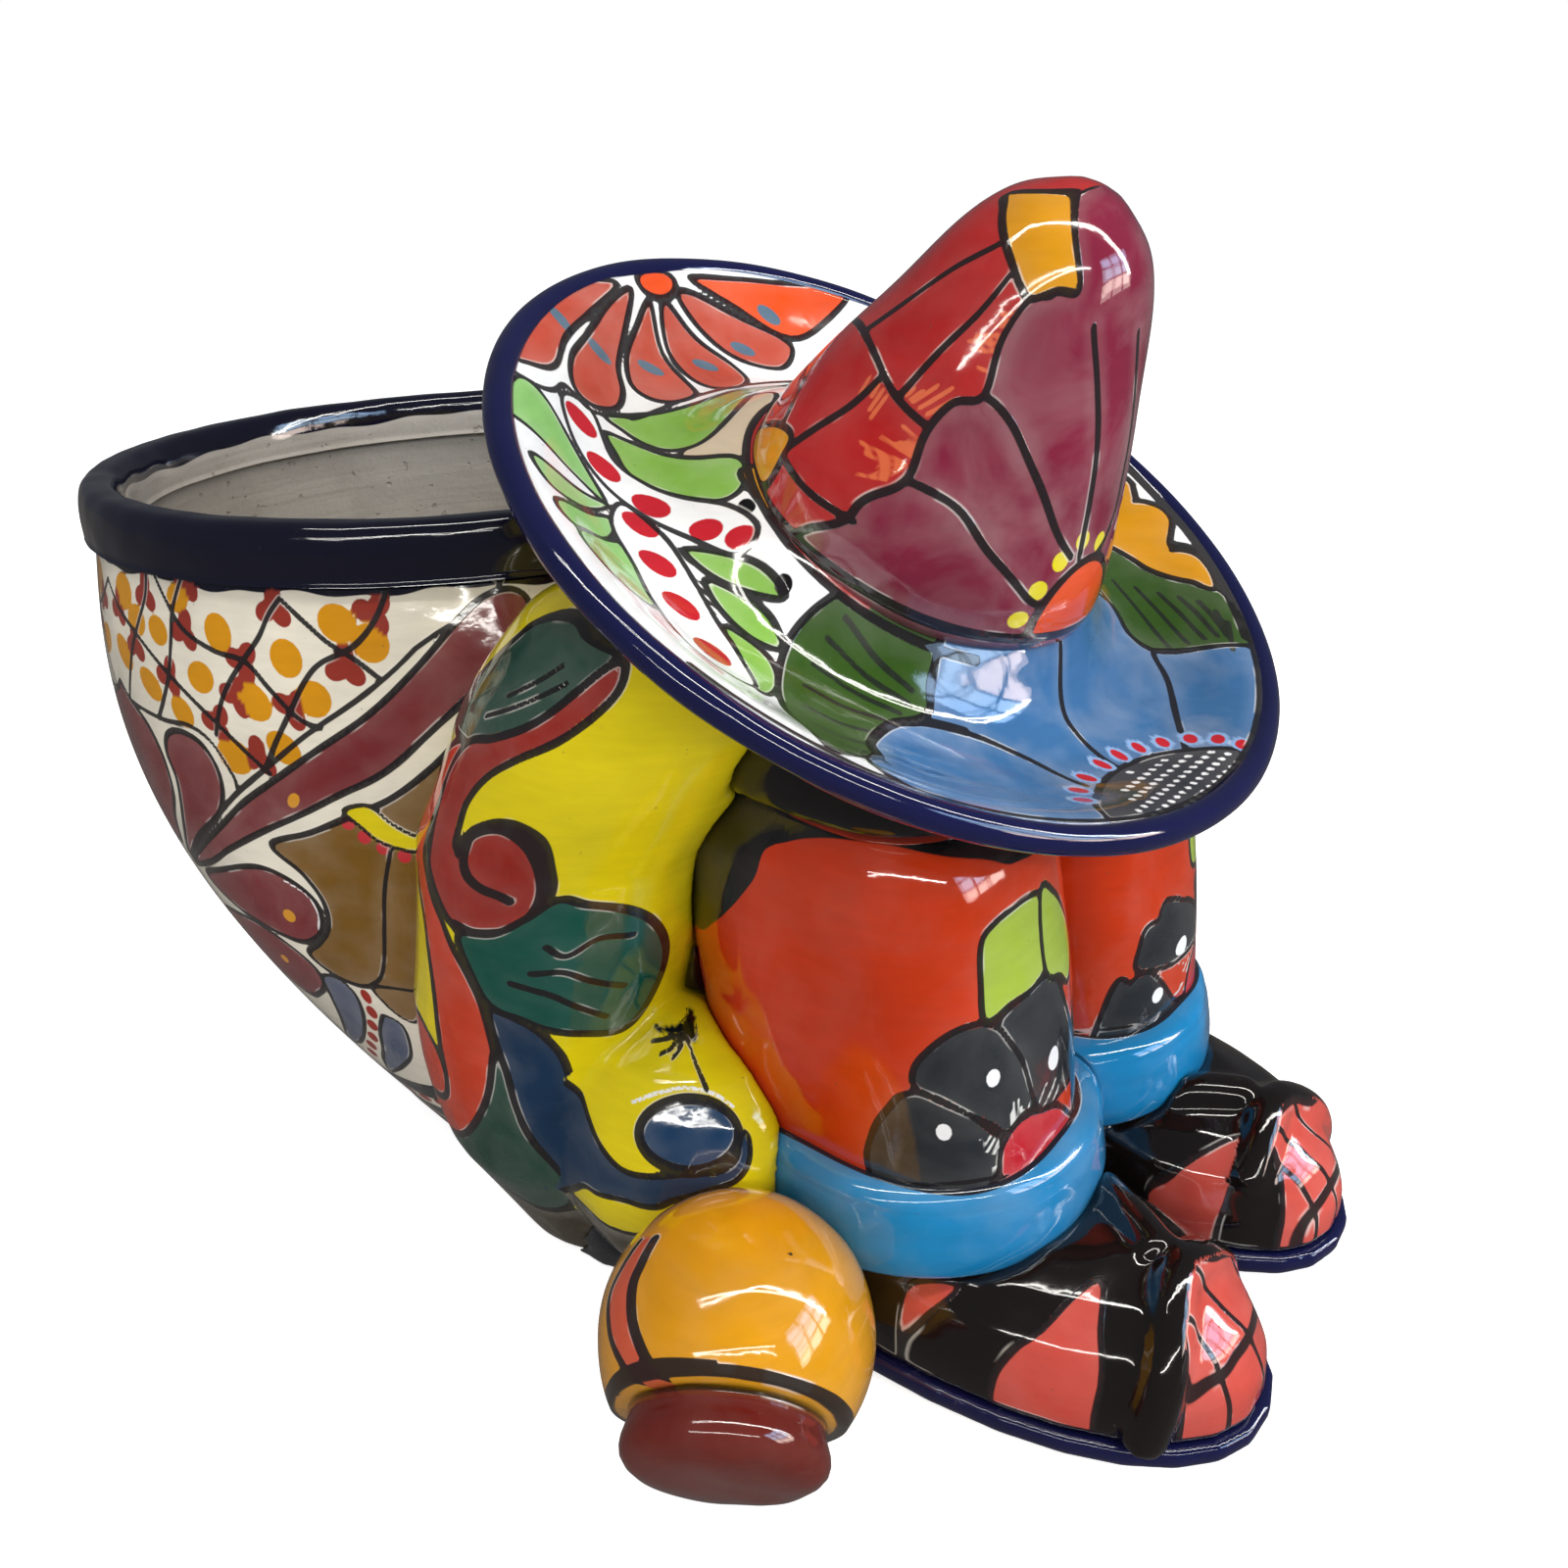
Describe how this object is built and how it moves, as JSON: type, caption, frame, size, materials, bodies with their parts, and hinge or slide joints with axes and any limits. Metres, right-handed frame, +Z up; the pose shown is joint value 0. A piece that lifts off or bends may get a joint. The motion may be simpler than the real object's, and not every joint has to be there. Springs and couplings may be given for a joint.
{
  "type": "planter",
  "caption": "Glazed earthenware planter: an open leaning pot behind a seated figure asleep under a tall sombrero, with a small jug on its side.",
  "frame": {"origin": "centre of the pot's round foot, on the surface it stands on", "axes": "+Z up; -Y the way the figure faces, over its toes; +X the figure's left, away from the jug"},
  "size_m": [0.3392, 0.5232, 0.3408],
  "materials": {
    "bare_clay": "unglazed pale earthenware, stained",
    "painted_white": "glossy clear glaze over painted cream ground",
    "navy_glaze": "glossy navy glaze",
    "yellow_glaze": "glossy glaze over yellow with painted scrolls",
    "orange_glaze": "glossy glaze over orange red with a painted flower",
    "blue_glaze": "glossy bright blue glaze",
    "black_glaze": "glossy black brown glaze with salmon panels",
    "red_glaze": "glossy glaze over red and plum petals",
    "amber_glaze": "glossy amber glaze",
    "maroon_glaze": "glossy brown red glaze"
  },
  "bodies": {
    "root": {"pot_base": "bare_clay", "pot_wall": "painted_white", "pot_rim": "navy_glaze", "right_skirt": "painted_white", "left_skirt": "painted_white", "hat_brim": "painted_white", "hat_edge": "navy_glaze", "hat_crown": "red_glaze", "head": "black_glaze", "folded_arms": "black_glaze", "serape_body": "yellow_glaze", "jug_body": "amber_glaze", "jug_mouth": "maroon_glaze", "right_leg": "orange_glaze", "right_cuff": "blue_glaze", "right_shoe": "black_glaze", "right_sole": "navy_glaze", "right_strap": "black_glaze", "right_sleeve": "yellow_glaze", "left_leg": "orange_glaze", "left_cuff": "blue_glaze", "left_shoe": "black_glaze", "left_sole": "navy_glaze", "left_strap": "black_glaze", "left_sleeve": "yellow_glaze"}
  },
  "joints": []
}
